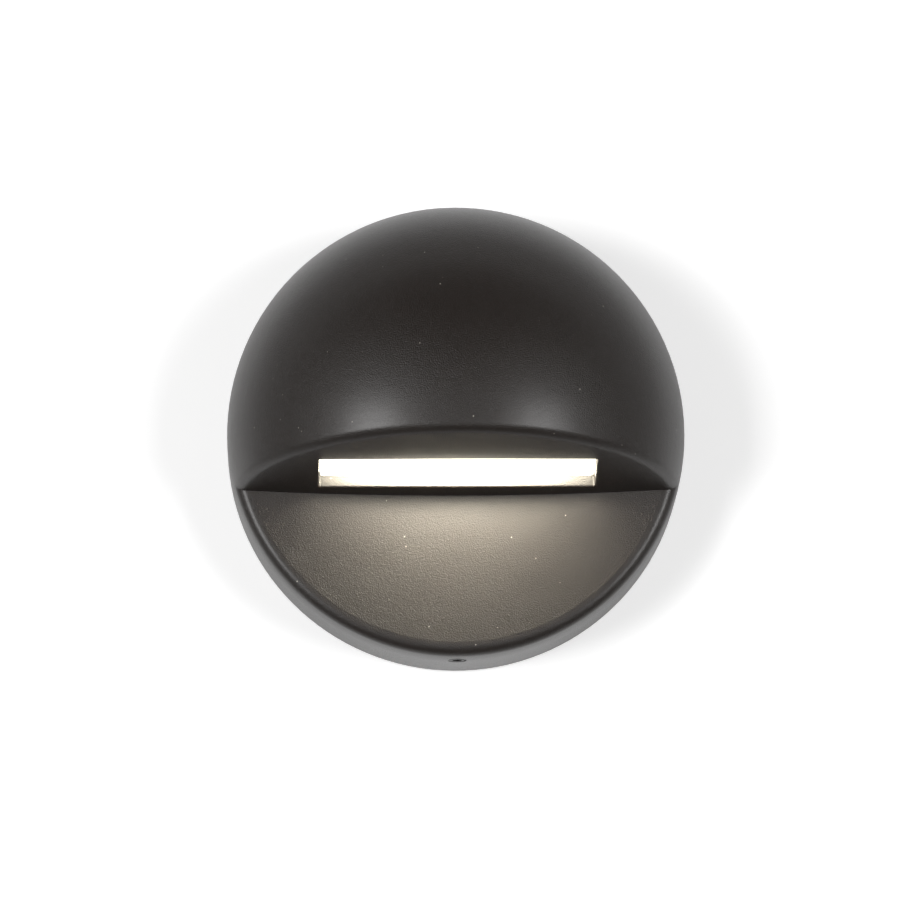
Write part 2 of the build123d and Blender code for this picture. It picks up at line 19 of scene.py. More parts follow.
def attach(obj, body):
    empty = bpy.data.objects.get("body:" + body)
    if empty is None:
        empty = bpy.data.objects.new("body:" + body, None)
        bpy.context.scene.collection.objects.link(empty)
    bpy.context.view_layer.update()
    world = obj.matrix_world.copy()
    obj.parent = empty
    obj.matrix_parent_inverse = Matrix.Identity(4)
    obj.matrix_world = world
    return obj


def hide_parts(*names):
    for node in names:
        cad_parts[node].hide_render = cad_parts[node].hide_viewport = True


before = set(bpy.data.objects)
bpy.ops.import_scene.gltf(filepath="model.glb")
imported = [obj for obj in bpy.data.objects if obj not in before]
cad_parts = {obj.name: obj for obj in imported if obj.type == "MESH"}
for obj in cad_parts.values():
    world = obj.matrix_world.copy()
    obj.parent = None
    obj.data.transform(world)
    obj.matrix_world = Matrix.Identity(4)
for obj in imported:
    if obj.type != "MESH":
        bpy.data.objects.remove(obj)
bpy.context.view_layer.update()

log = logging.getLogger("deck_light")

MM = 0.001
MERGE = 0.001 * MM
GRAIN_DETAIL = 2.0
PEEL_DETAIL = 1.0
EDGE_SAMPLES = 4


class Body(Enum):
    """The bodies that new pieces ride on."""

    LIGHT = "light"
    LOCK_SCREW = "lock_screw"


class Slot(Enum):
    """The names of the material slots, which no piece here is given."""

    POWDER_COAT = "bronze_powder_coat"
    FROSTED_LENS = "frosted_lens"
    BLACK_OXIDE = "black_oxide_steel"
    WOUND_FERRITE = "wound_ferrite"


class Brush(Enum):
    """The way that a brushed or drawn metal's lines run, by the axis they follow."""

    ALONG_X = (0.04, 1.0, 1.0)
    ALONG_Y = (1.0, 0.04, 1.0)


def linear(hex_code: str) -> tuple[float, float, float, float]:
    """Turns an sRGB hex colour to linear.

    Args:
        hex_code: six hex digits after a hash sign.

    Returns:
        Linear red, green and blue with an alpha of one.
    """
    levels = [int(hex_code[i:i + 2], 16) / 255 for i in (1, 3, 5)]
    return (*[c / 12.92 if c <= 0.04045 else ((c + 0.055) / 1.055) ** 2.4 for c in levels], 1.0)


def per_mm(size: float) -> float:
    """Gives the texture scale at which one feature is size millimetres wide."""
    return 1 / (size * MM)


def add_node(tree: bpy.types.NodeTree, kind: str, inputs: dict[Any, Any] | None = None,
             **settings: Any) -> bpy.types.Node:
    """Adds one node with its settings and links.

    Args:
        tree: the node tree that gets the node.
        kind: the node's type, without the leading word ShaderNode.
        inputs: values by socket name or number, or the output sockets to link from.
        settings: the node's own options by name.

    Returns:
        The new node.
    """
    node = tree.nodes.new("ShaderNode" + kind)
    for name, value in settings.items():
        setattr(node, name, value)
    for name, value in (inputs or {}).items():
        if isinstance(value, bpy.types.NodeSocket):
            tree.links.new(value, node.inputs[name])
        else:
            node.inputs[name].default_value = value
    return node


def pick(piece: bpy.types.Object) -> None:
    """Selects one piece alone and makes it the active one."""
    bpy.ops.object.select_all(action="DESELECT")
    piece.select_set(True)
    bpy.context.view_layer.objects.active = piece


@contextmanager
def shaping(piece: bpy.types.Object) -> Iterator[bpy.types.Object]:
    """Opens one piece in edit mode with all of it selected, and closes it afterwards.

    Args:
        piece: the piece to shape.

    Yields:
        The same piece.
    """
    pick(piece)
    bpy.ops.object.mode_set(mode="EDIT")
    bpy.ops.mesh.select_all(action="SELECT")
    yield piece
    bpy.ops.object.mode_set(mode="OBJECT")


def select_points(piece: bpy.types.Object, wanted: Callable[[Vector], bool]) -> None:
    """Selects, in edit mode, the points that a test picks by place, and nothing else.

    Args:
        piece: the piece that is open in edit mode.
        wanted: tells of a point's place whether it is picked.
    """
    bpy.ops.mesh.select_all(action="DESELECT")
    bpy.ops.mesh.select_mode(type="VERT")
    bpy.ops.object.mode_set(mode="OBJECT")
    for point in piece.data.vertices:
        point.select = wanted(point.co)
    bpy.ops.object.mode_set(mode="EDIT")


@dataclass(frozen=True)
class Finish:
    """A real material: its name, colours and gloss, and the grain that its making leaves."""

    name: str
    colour: str
    second: str
    roughness: float
    spread: float
    pattern: float
    relief: float
    metallic: float = 0.0
    edge: float = 0.15

    def material(self) -> bpy.types.Material:
        """Makes the material once and gives the same one afterwards.

        Returns:
            The material with its node tree.
        """
        made = bpy.data.materials.get(self.name)
        if made is None:
            made = bpy.data.materials.new(self.name)
            made.use_nodes = True
            tree = made.node_tree
            shader = tree.nodes["Principled BSDF"]
            shader.inputs["Metallic"].default_value = self.metallic
            place = add_node(tree, "TexCoord").outputs["Object"]
            self.paint(tree, shader, place)
        return made

    def paint(self, tree: bpy.types.NodeTree, shader: bpy.types.Node,
              place: bpy.types.NodeSocket) -> None:
        """Draws the pattern into colour, roughness and relief.

        Args:
            tree: the material's node tree.
            shader: its principled shader.
            place: the object coordinates.
        """
        amount = self.grain(tree, place)
        self.tint(tree, shader, amount)
        self.raise_relief(tree, shader, amount)

    def grain(self, tree: bpy.types.NodeTree, place: bpy.types.NodeSocket) -> bpy.types.NodeSocket:
        """Draws a fine even grain.

        Args:
            tree: the material's node tree.
            place: the object coordinates.

        Returns:
            The grain, nought to one.
        """
        return add_node(tree, "TexNoise", {"Vector": place, "Scale": per_mm(self.pattern),
                                           "Detail": GRAIN_DETAIL}).outputs["Fac"]

    def tint(self, tree: bpy.types.NodeTree, shader: bpy.types.Node,
             amount: bpy.types.NodeSocket) -> None:
        """Varies the colour and the roughness by one pattern.

        Args:
            tree: the material's node tree.
            shader: its principled shader.
            amount: the pattern, nought to one.
        """
        mix = add_node(tree, "Mix", {0: amount, 6: linear(self.colour), 7: linear(self.second)},
                       data_type="RGBA")
        tree.links.new(mix.outputs[2], shader.inputs["Base Color"])
        gloss = add_node(tree, "MapRange", {"Value": amount, "To Min": self.roughness - self.spread,
                                            "To Max": self.roughness + self.spread})
        tree.links.new(gloss.outputs["Result"], shader.inputs["Roughness"])

    def raise_relief(self, tree: bpy.types.NodeTree, shader: bpy.types.Node,
                     height: bpy.types.NodeSocket) -> None:
        """Gives the surface its relief, on edges that a small radius softens.

        Args:
            tree: the material's node tree.
            shader: its principled shader.
            height: the relief, nought to one.
        """
        soft = add_node(tree, "Bevel", {"Radius": self.edge * MM}, samples=EDGE_SAMPLES)
        bump = add_node(tree, "Bump", {"Height": height, "Normal": soft.outputs["Normal"],
                                       "Distance": self.relief * MM, "Strength": 1.0})
        tree.links.new(bump.outputs["Normal"], shader.inputs["Normal"])


@dataclass(frozen=True)
class BrushedMetal(Finish):
    """A metal whose rolling, drawing or brushing leaves fine lines along one axis."""

    brush: Brush = Brush.ALONG_X

    def grain(self, tree: bpy.types.NodeTree, place: bpy.types.NodeSocket) -> bpy.types.NodeSocket:
        """Draws the grain stretched along the brushing.

        Args:
            tree: the material's node tree.
            place: the object coordinates.

        Returns:
            The lines, nought to one.
        """
        drawn = add_node(tree, "Mapping", {"Vector": place, "Scale": self.brush.value})
        return super().grain(tree, drawn.outputs["Vector"])


@dataclass(frozen=True)
class CellFoam(Finish):
    """A foam sheet whose cut face shows closed cells."""

    def grain(self, tree: bpy.types.NodeTree, place: bpy.types.NodeSocket) -> bpy.types.NodeSocket:
        """Draws rounded cells that differ in size.

        Args:
            tree: the material's node tree.
            place: the object coordinates.

        Returns:
            The cells, nought at their middles.
        """
        return add_node(tree, "TexVoronoi", {"Vector": place, "Scale": per_mm(self.pattern)},
                        feature="SMOOTH_F1").outputs["Distance"]


@dataclass(frozen=True)
class CircuitBoard(Finish):
    """A laminate board whose solder mask shows the copper tracks under it as paler bands."""

    track: float = 1.1
    track_gap: float = 0.22
    track_length: float = 9.0
    stagger: float = 0.37

    def grain(self, tree: bpy.types.NodeTree, place: bpy.types.NodeSocket) -> bpy.types.NodeSocket:
        """Draws rows of tracks with narrow gaps, broken at uneven places.

        Args:
            tree: the material's node tree.
            place: the object coordinates.

        Returns:
            One on the tracks and nought in the gaps.
        """
        flat = add_node(tree, "Mapping", {"Vector": place, "Rotation": (math.pi / 2, 0, 0)})
        gaps = add_node(tree, "TexBrick", {"Vector": flat.outputs["Vector"], "Scale": 1.0,
                                           "Mortar Size": self.track_gap * MM,
                                           "Brick Width": self.track_length * MM,
                                           "Row Height": self.track * MM},
                        offset=self.stagger)
        return add_node(tree, "Math", {0: 1.0, 1: gaps.outputs["Fac"]},
                        operation="SUBTRACT").outputs[0]


@dataclass(frozen=True)
class PowderCoat(Finish):
    """Baked powder on a die casting: a smooth satin skin over a fine grain, with a little dust."""

    peel: float = 1.6
    peel_share: float = 0.3
    skin: float = 0.45
    skin_roughness: float = 0.32
    dust: str = "#C9C3B6"
    dust_spacing: float = 2.6
    dust_radius: float = 0.1

    def grain(self, tree: bpy.types.NodeTree, place: bpy.types.NodeSocket) -> bpy.types.NodeSocket:
        """Draws the powder's grain on a slow orange peel.

        Args:
            tree: the material's node tree.
            place: the object coordinates.

        Returns:
            The two together.
        """
        fine = super().grain(tree, place)
        slow = add_node(tree, "TexNoise", {"Vector": place, "Scale": per_mm(self.peel),
                                           "Detail": PEEL_DETAIL}).outputs["Fac"]
        return add_node(tree, "Math", {0: slow, 1: self.peel_share, 2: fine},
                        operation="MULTIPLY_ADD").outputs[0]

    def paint(self, tree: bpy.types.NodeTree, shader: bpy.types.Node,
              place: bpy.types.NodeSocket) -> None:
        """Draws the grain, lays the satin skin over it and settles a few motes of dust.

        Args:
            tree: the material's node tree.
            shader: its principled shader.
            place: the object coordinates.
        """
        super().paint(tree, shader, place)
        shader.inputs["Coat Weight"].default_value = self.skin
        shader.inputs["Coat Roughness"].default_value = self.skin_roughness
        motes = add_node(tree, "TexVoronoi", {"Vector": place, "Scale": per_mm(self.dust_spacing)})
        near = add_node(tree, "Math", {0: motes.outputs["Distance"],
                                       1: self.dust_radius / self.dust_spacing},
                        operation="LESS_THAN").outputs[0]
        faint = add_node(tree, "Math", {0: near, 1: motes.outputs["Color"]},
                         operation="MULTIPLY").outputs[0]
        clean = shader.inputs["Base Color"].links[0].from_socket
        dusty = add_node(tree, "Mix", {0: faint, 6: clean, 7: linear(self.dust)}, data_type="RGBA")
        tree.links.new(dusty.outputs[2], shader.inputs["Base Color"])


@dataclass(frozen=True)
class LitLens(Finish):
    """Frosted plastic lit from behind: warm white, and brightest at mid-length by the sill."""

    glow: str = "#FFF7E1"
    strength: float = 124.0
    half_width: float = 14.5
    half_depth: float = 2.2
    brightest_forward: float = 18.3
    wide_depth: float = 14.0
    wide_share: float = 0.1
    least: float = 0.01
    outside: float = 0.5

    def paint(self, tree: bpy.types.NodeTree, shader: bpy.types.Node,
              place: bpy.types.NodeSocket) -> None:
        """Draws the frosted face, and the glow of its outer side.

        Args:
            tree: the material's node tree.
            shader: its principled shader.
            place: the object coordinates.
        """
        super().paint(tree, shader, place)
        near = self.bell(tree, place, self.half_depth)
        wide = self.bell(tree, place, self.wide_depth)
        spread = add_node(tree, "Math", {0: wide, 1: self.wide_share, 2: self.least},
                          operation="MULTIPLY_ADD")
        whole = add_node(tree, "Math", {0: near, 1: spread.outputs[0]}, operation="ADD")
        normal = add_node(tree, "NewGeometry").outputs["Normal"]
        facing = add_node(tree, "SeparateXYZ", {0: normal}).outputs["Z"]
        outer = add_node(tree, "Math", {0: facing, 1: self.outside}, operation="LESS_THAN")
        shown = add_node(tree, "Math", {0: whole.outputs[0], 1: outer.outputs[0]},
                         operation="MULTIPLY")
        light = add_node(tree, "VectorMath", {0: linear(self.glow)[:3], "Scale": shown.outputs[0]},
                         operation="SCALE")
        tree.links.new(light.outputs[0], shader.inputs["Emission Color"])
        shader.inputs["Emission Strength"].default_value = self.strength

    def bell(self, tree: bpy.types.NodeTree, place: bpy.types.NodeSocket,
             half_depth: float) -> bpy.types.NodeSocket:
        """Draws a glow that falls off both ways from the brightest spot.

        Args:
            tree: the material's node tree.
            place: the object coordinates.
            half_depth: how far forward or back it takes to fall to a third, in millimetres.

        Returns:
            The glow, nought to one.
        """
        scale = (1 / (self.half_width * MM), 1 / (half_depth * MM), 0.0)
        shift = (0.0, self.brightest_forward / half_depth, 0.0)
        away = add_node(tree, "Mapping", {"Vector": place, "Location": shift, "Scale": scale})
        apart = add_node(tree, "VectorMath", {0: away.outputs[0], 1: away.outputs[0]},
                         operation="DOT_PRODUCT").outputs["Value"]
        fall = add_node(tree, "Math", {0: apart, 1: -1.0}, operation="MULTIPLY").outputs[0]
        return add_node(tree, "Math", {0: fall}, operation="EXPONENT").outputs[0]


# Powder baked on a die casting: warm near-black, satin, grained like very fine sandpaper.
# The grain is drawn at 0.2 mm, about twice its real size, because finer grain is lost
# between the render's points.
COAT = PowderCoat("Satin bronze powder coat", "#120E0B", "#241C17", 0.43, 0.05, 0.2, 0.12)
# Moulded frosted polycarbonate: an even milky face that hides the chips behind it.
LENS = LitLens("Frosted polycarbonate", "#F4EEDF", "#FAF6EA", 0.6, 0.05, 0.4, 0.004)
# Compression-moulded rubber: soft black with a dry bloom and no clear highlight.
RUBBER = Finish("Moulded black rubber", "#1B1B1B", "#262626", 0.7, 0.06, 0.5, 0.01)
# Die-cut foam sheet: dull black, pitted with cells on its cut face.
FOAM = CellFoam("Closed-cell foam", "#2B2B2C", "#19191A", 0.9, 0.05, 0.7, 0.12)
# Injection-moulded white ABS: bright and smooth, with a faint sheen.
WHITE_ABS = Finish("Moulded white ABS", "#E6E5E0", "#ECEBE7", 0.4, 0.05, 0.6, 0.004)
# White solder mask on an aluminium board: glossy white with its tracks just showing.
WHITE_MASK = CircuitBoard("White solder mask", "#D2D1CB", "#E6E6E2", 0.35, 0.05, 0.5, 0.01,
                          track=2.2, track_length=14.0)
# Phosphor in clear silicone: a saturated yellow with a fine powdery grain.
PHOSPHOR = Finish("Yellow phosphor", "#DDA92E", "#E9C45C", 0.5, 0.05, 0.2, 0.01)
# Filled silicone sheet: flat grey and a little mottled.
PAD = Finish("Silicone thermal pad", "#70747A", "#83868C", 0.75, 0.05, 0.4, 0.01)
# Extruded aluminium: pale metal with die lines along its length.
ALUMINIUM = BrushedMetal("Extruded aluminium", "#C9CBCE", "#B6B9BD", 0.36, 0.08, 0.35, 0.01,
                         metallic=1.0)
# Pressed stainless sheet: brushed one way, so its highlights are drawn out across the lines.
STAINLESS = BrushedMetal("Brushed stainless sheet", "#CFCCC6", "#BBB8B2", 0.32, 0.09, 0.3, 0.0012,
                         metallic=1.0)
# Turned stainless screws: bright and finely ringed.
SCREW_STEEL = BrushedMetal("Turned stainless steel", "#D2D0CB", "#C2C0BA", 0.24, 0.06, 0.25, 0.004,
                           metallic=1.0, edge=0.08, brush=Brush.ALONG_Y)
# Oiled black oxide on alloy steel: near black, with a soft metallic sheen.
BLACK_OXIDE = Finish("Black oxide steel", "#191817", "#252321", 0.42, 0.06, 0.3, 0.004,
                     metallic=1.0, edge=0.05)
# Glass laminate under green mask: glossy dark green with paler tracks.
GREEN_BOARD = CircuitBoard("Green glass laminate", "#0F3F21", "#1B6237", 0.35, 0.05, 0.5, 0.02)
# Sintered ferrite: matt charcoal with a pressed grain.
FERRITE = Finish("Sintered ferrite", "#2E2B2B", "#3D3939", 0.65, 0.06, 0.4, 0.012)
# Enamelled copper wire: red-brown metal under a clear lacquer.
COPPER = BrushedMetal("Enamelled copper wire", "#B4552A", "#C4693A", 0.26, 0.06, 0.2, 0.004,
                      metallic=1.0, edge=0.05)
# Shrunk plastic sleeve on an aluminium can: smooth blue-black with a slight ripple.
CAN = Finish("Sleeved capacitor can", "#1D212B", "#2A2F3B", 0.32, 0.05, 0.9, 0.01)
# Transfer-moulded epoxy: dark grey with a sandy matt face.
EPOXY = Finish("Moulded epoxy", "#1A1A1C", "#262628", 0.55, 0.05, 0.2, 0.008)
# Extruded silicone sleeve: soft white with a dry surface.
SILICONE = Finish("White silicone sleeve", "#DFDDD6", "#EBE9E4", 0.55, 0.05, 0.5, 0.004)


@dataclass(frozen=True)
class SubAssembly:
    """A group of the light's pieces that are made, dressed and reported together."""

    def finishes(self) -> dict[str, Finish]:
        """Gives the finish of each carried-over solid in the group."""
        return {}

    def build(self) -> list[bpy.types.Object]:
        """Makes the group's new pieces, of which a plain group has none."""
        return []

    def dress(self) -> None:
        """Gives every carried-over solid of the group its finish."""
        for name, finish in self.finishes().items():
            self.coat(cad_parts[name], finish)

    def coat(self, piece: bpy.types.Object, finish: Finish) -> None:
        """Puts one finish all over a piece.

        Args:
            piece: a solid or a new piece.
            finish: what it is made of.
        """
        piece.data.materials.clear()
        piece.data.materials.append(finish.material())
        log.info("%s: %s", piece.name, finish.name)

    def copy_solid(self, node: str, name: str) -> bpy.types.Object:
        """Copies a carried-over solid, its points merged, into a piece that takes its place.

        Args:
            node: the solid's name.
            name: the new piece's name.

        Returns:
            The new piece, selected.
        """
        piece = bpy.data.objects.new(name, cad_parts[node].data.copy())
        bpy.context.scene.collection.objects.link(piece)
        with shaping(piece):
            bpy.ops.mesh.remove_doubles(threshold=MERGE)
        bpy.ops.mesh.customdata_custom_splitnormals_clear()
        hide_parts(node)
        return piece

    def wind(self, piece: bpy.types.Object, axis: str, pitch: float, turns: int,
             steps: int) -> None:
        """Sweeps a piece's outline round an axis through the origin, and applies the sweep.

        Args:
            piece: the open or closed outline.
            axis: the axis to wind round.
            pitch: the advance in each turn, in millimetres.
            turns: the number of turns.
            steps: the flats in each turn.
        """
        pick(piece)
        sweep = piece.modifiers.new("sweep", "SCREW")
        sweep.axis = axis
        sweep.screw_offset = pitch * MM
        sweep.iterations = turns
        sweep.steps = steps
        sweep.render_steps = steps
        bpy.ops.object.modifier_apply(modifier=sweep.name)


@dataclass(frozen=True)
class HoodCasting(SubAssembly):
    """The cast hood, with the shading of its nose made even."""

    crease: float = 32.0
    dish_radius: float = 35.6
    dish_forward: float = 16.0
    near: float = 0.05

    def finishes(self) -> dict[str, Finish]:
        """Gives the casting its powder coat."""
        return {"hood": COAT}

    def build(self) -> list[bpy.types.Object]:
        """Makes a merged copy of the casting, smooth over the dome and crisp round the dish.

        Returns:
            The hood's shell.
        """
        shell = self.copy_solid("hood", "hood_shell")
        with shaping(shell):
            select_points(shell, self.on_dish_edge)
            bpy.ops.mesh.mark_sharp()
        bpy.ops.object.shade_smooth_by_angle(angle=math.radians(self.crease))
        self.coat(shell, COAT)
        return [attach(shell, Body.LIGHT.value)]

    def on_dish_edge(self, place: Vector) -> bool:
        """Tells whether a point lies on the circle where the apron's dish begins."""
        return (abs(place.y + self.dish_forward * MM) < self.near * MM
                and abs(math.hypot(place.x, place.z) - self.dish_radius * MM) < self.near * MM)


@dataclass(frozen=True)
class LightEngine(SubAssembly):
    """The lens, its gasket and the chips' board, reflector, heat sink and leads."""

    lip_forward: float = 29.5
    lip_below: float = -7.4
    lip_drop: float = 0.4
    crease: float = 30.0

    def finishes(self) -> dict[str, Finish]:
        """Gives each piece between the window and the heat sink its material."""
        return {"lens": LENS, "lens_gasket": RUBBER, "reflector": WHITE_ABS,
                "led_board": WHITE_MASK, "led_chips": PHOSPHOR, "thermal_pad": PAD,
                "heat_sink": ALUMINIUM, "heat_sink_screws": SCREW_STEEL, "led_leads": SILICONE}

    def build(self) -> list[bpy.types.Object]:
        """Makes a merged copy of the lens with its front lip a little proud of the underside.

        Returns:
            The lens, whose lip sends some light forward along the underside.
        """
        lens = self.copy_solid("lens", "lens_lipped")
        with shaping(lens):
            select_points(lens, self.on_lip)
            bpy.ops.transform.translate(value=(0, 0, -self.lip_drop * MM))
        bpy.ops.object.shade_smooth_by_angle(angle=math.radians(self.crease))
        self.coat(lens, LENS)
        return [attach(lens, Body.LIGHT.value)]

    def on_lip(self, place: Vector) -> bool:
        """Tells whether a point lies on the front edge of the lens's outer face."""
        return place.y < -self.lip_forward * MM and place.z < self.lip_below * MM


@dataclass(frozen=True)
class Driver(SubAssembly):
    """The driver board and its parts, with the inductor's winding."""

    core_across: float = -5.0
    core_up: float = 21.99
    core_radius: float = 2.6
    groove_back: float = 13.38
    groove_front: float = 17.38
    wire_radius: float = 0.24
    wire_gap: float = 0.02
    wire_sides: int = 8
    turn_steps: int = 24
    layers: int = 2
    crease: float = 60.0

    def finishes(self) -> dict[str, Finish]:
        """Gives the board and what stands on it their materials."""
        return {"driver_board": GREEN_BOARD, "driver_screws": SCREW_STEEL,
                "driver_inductor": FERRITE, "driver_capacitor": CAN,
                "driver_rectifier": EPOXY, "driver_chip": EPOXY}

    def build(self) -> list[bpy.types.Object]:
        """Winds the inductor's wire in the groove between its flanges.

        Returns:
            The winding.
        """
        coils = [self.coil(layer) for layer in range(self.layers)]
        pick(coils[0])
        for coil in coils:
            coil.select_set(True)
        bpy.ops.object.join()
        winding = bpy.context.object
        winding.name = "inductor_winding"
        with shaping(winding):
            bpy.ops.mesh.fill_holes(sides=self.wire_sides)
            bpy.ops.mesh.normals_make_consistent(inside=False)
            bpy.ops.transform.translate(value=(self.core_across * MM, 0, self.core_up * MM))
        bpy.ops.object.shade_smooth_by_angle(angle=math.radians(self.crease))
        self.coat(winding, COPPER)
        return [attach(winding, Body.LIGHT.value)]

    def coil(self, layer: int) -> bpy.types.Object:
        """Winds one layer of wire round the core's axis.

        Args:
            layer: nought for the layer on the core.

        Returns:
            The open-ended coil, still centred across the origin.
        """
        pitch = 2 * self.wire_radius + self.wire_gap
        room = self.groove_front - self.groove_back - 2 * (self.wire_radius + self.wire_gap)
        turns = int(room / pitch)
        start = self.groove_front - self.wire_radius - self.wire_gap
        bpy.ops.object.select_all(action="DESELECT")
        bpy.ops.mesh.primitive_circle_add(
            vertices=self.wire_sides, radius=self.wire_radius * MM,
            location=((self.core_radius + self.wire_gap + self.wire_radius + layer * pitch) * MM,
                      -start * MM, 0))
        bpy.ops.object.transform_apply(location=True, rotation=True, scale=True)
        coil = bpy.context.object
        self.wind(coil, "Y", pitch, turns, self.turn_steps)
        with shaping(coil):
            bpy.ops.mesh.remove_doubles(threshold=MERGE)
        return coil


@dataclass(frozen=True)
class RearClosure(SubAssembly):
    """The cover over the back of the hood, with its gasket, screws and grommet."""

    def finishes(self) -> dict[str, Finish]:
        """Gives the cover and what seals it their materials."""
        return {"back_cover": COAT, "back_gasket": RUBBER, "cable_grommet": RUBBER,
                "cover_screws": SCREW_STEEL}


@dataclass(frozen=True)
class WallFixing(SubAssembly):
    """The pressed plate that stays on the wall, and the foam behind it."""

    def finishes(self) -> dict[str, Finish]:
        """Gives the plate and the foam their materials."""
        return {"wall_plate": STAINLESS, "wall_gasket": FOAM}


@dataclass(frozen=True)
class LockScrew(SubAssembly):
    """The socket set screw under the rim that holds the light to the plate."""

    forward: float = 11.55
    outer_end: float = -38.05
    inner_end: float = -34.05
    radius: float = 1.49
    pitch: float = 0.5
    thread_depth: float = 0.3
    steps: int = 32
    socket: float = 1.5
    socket_depth: float = 1.6
    spare_turns: float = 1.5
    crease: float = 20.0

    def finishes(self) -> dict[str, Finish]:
        """Gives the plain solid the screw's own finish too."""
        return {"lock_screw": BLACK_OXIDE}

    def build(self) -> list[bpy.types.Object]:
        """Cuts the thread, trims the ends and sinks the hexagon socket.

        Returns:
            The threaded screw in the place of its plain solid.
        """
        screw = self.thread()
        with shaping(screw):
            bpy.ops.mesh.remove_doubles(threshold=MERGE)
            bpy.ops.mesh.normals_make_consistent(inside=False)
        for end, side in ((self.outer_end, -1), (self.inner_end, 1)):
            with shaping(screw):
                bpy.ops.mesh.bisect(plane_co=(0, 0, end * MM), plane_no=(0, 0, side),
                                    use_fill=True, clear_outer=True, threshold=MERGE)
        self.sink_socket(screw)
        with shaping(screw):
            bpy.ops.mesh.remove_doubles(threshold=MERGE)
            bpy.ops.mesh.normals_make_consistent(inside=False)
            bpy.ops.transform.translate(value=(0, -self.forward * MM, 0))
        bpy.ops.object.shade_smooth_by_angle(angle=math.radians(self.crease))
        self.coat(screw, BLACK_OXIDE)
        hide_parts("lock_screw")
        return [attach(screw, Body.LOCK_SCREW.value)]

    def thread(self) -> bpy.types.Object:
        """Winds one tooth's outline up the screw, some turns past each end.

        Returns:
            The open thread, round the vertical axis through the origin.
        """
        root = self.radius - self.thread_depth
        turns = round((self.inner_end - self.outer_end) / self.pitch + 2 * self.spare_turns)
        start = self.outer_end - self.spare_turns * self.pitch
        bpy.ops.object.select_all(action="DESELECT")
        bpy.ops.mesh.primitive_circle_add(vertices=4, radius=self.pitch / 2 * MM,
                                          location=(root * MM, 0, start * MM),
                                          rotation=(math.pi / 2, 0, 0))
        bpy.ops.object.transform_apply(location=True, rotation=True, scale=True)
        screw = bpy.context.object
        screw.name = "lock_screw_threaded"
        with shaping(screw):
            bpy.ops.transform.resize(value=(self.thread_depth / (self.pitch / 2), 1, 1),
                                     center_override=(root * MM, 0, start * MM))
            select_points(screw, lambda place: place.x < (root - self.thread_depth / 2) * MM)
            bpy.ops.mesh.delete(type="VERT")
        self.wind(screw, "Z", self.pitch, turns, self.steps)
        return screw

    def sink_socket(self, screw: bpy.types.Object) -> None:
        """Takes a hexagon out of the screw's outer end.

        Args:
            screw: the closed threaded rod.
        """
        bpy.ops.object.select_all(action="DESELECT")
        bpy.ops.mesh.primitive_cylinder_add(
            vertices=6, radius=self.socket / math.sqrt(3) * MM, depth=2 * self.socket_depth * MM,
            location=(0, 0, self.outer_end * MM))
        key = bpy.context.object
        pick(screw)
        cut = screw.modifiers.new("socket", "BOOLEAN")
        cut.operation = "DIFFERENCE"
        cut.object = key
        bpy.ops.object.modifier_apply(modifier=cut.name)
        bpy.data.objects.remove(key)


@dataclass(frozen=True)
class PhotoCamera:
    """The camera at the photograph's viewing angle, a little below the light's front."""

    below: float = 10.2
    left: float = 1.15
    roll: float = 0.32
    distance: float = 1244.35
    focal_px: float = 7464.4
    aim: tuple[float, float, float] = (0.0, -10.0, 0.0)
    aim_px: tuple[float, float] = (455.7, 436.1)
    frame_px: float = 900.0
    sensor: float = 36.0
    clip: tuple[float, float] = (0.01, 100.0)

    def place(self) -> bpy.types.Object:
        """Makes the camera and sets it as the scene's own.

        Returns:
            The camera object.
        """
        turn = (Matrix.Rotation(math.radians(-self.left), 3, "Z")
                @ Matrix.Rotation(math.radians(90 + self.below), 3, "X")
                @ Matrix.Rotation(math.radians(-self.roll), 3, "Z"))
        right, up, out = turn.col
        mm_per_px = self.distance / self.focal_px
        side = (self.aim_px[0] - self.frame_px / 2) * mm_per_px
        rise = (self.frame_px / 2 - self.aim_px[1]) * mm_per_px
        spot = Vector(self.aim) + out * self.distance - right * side - up * rise
        lens = bpy.data.cameras.new("photo_camera")
        lens.sensor_width = self.sensor
        lens.lens = self.focal_px * self.sensor / self.frame_px
        lens.clip_start, lens.clip_end = self.clip
        camera = bpy.data.objects.new("photo_camera", lens)
        camera.location = spot * MM
        camera.rotation_euler = turn.to_euler()
        bpy.context.scene.collection.objects.link(camera)
        bpy.context.scene.camera = camera
        return camera


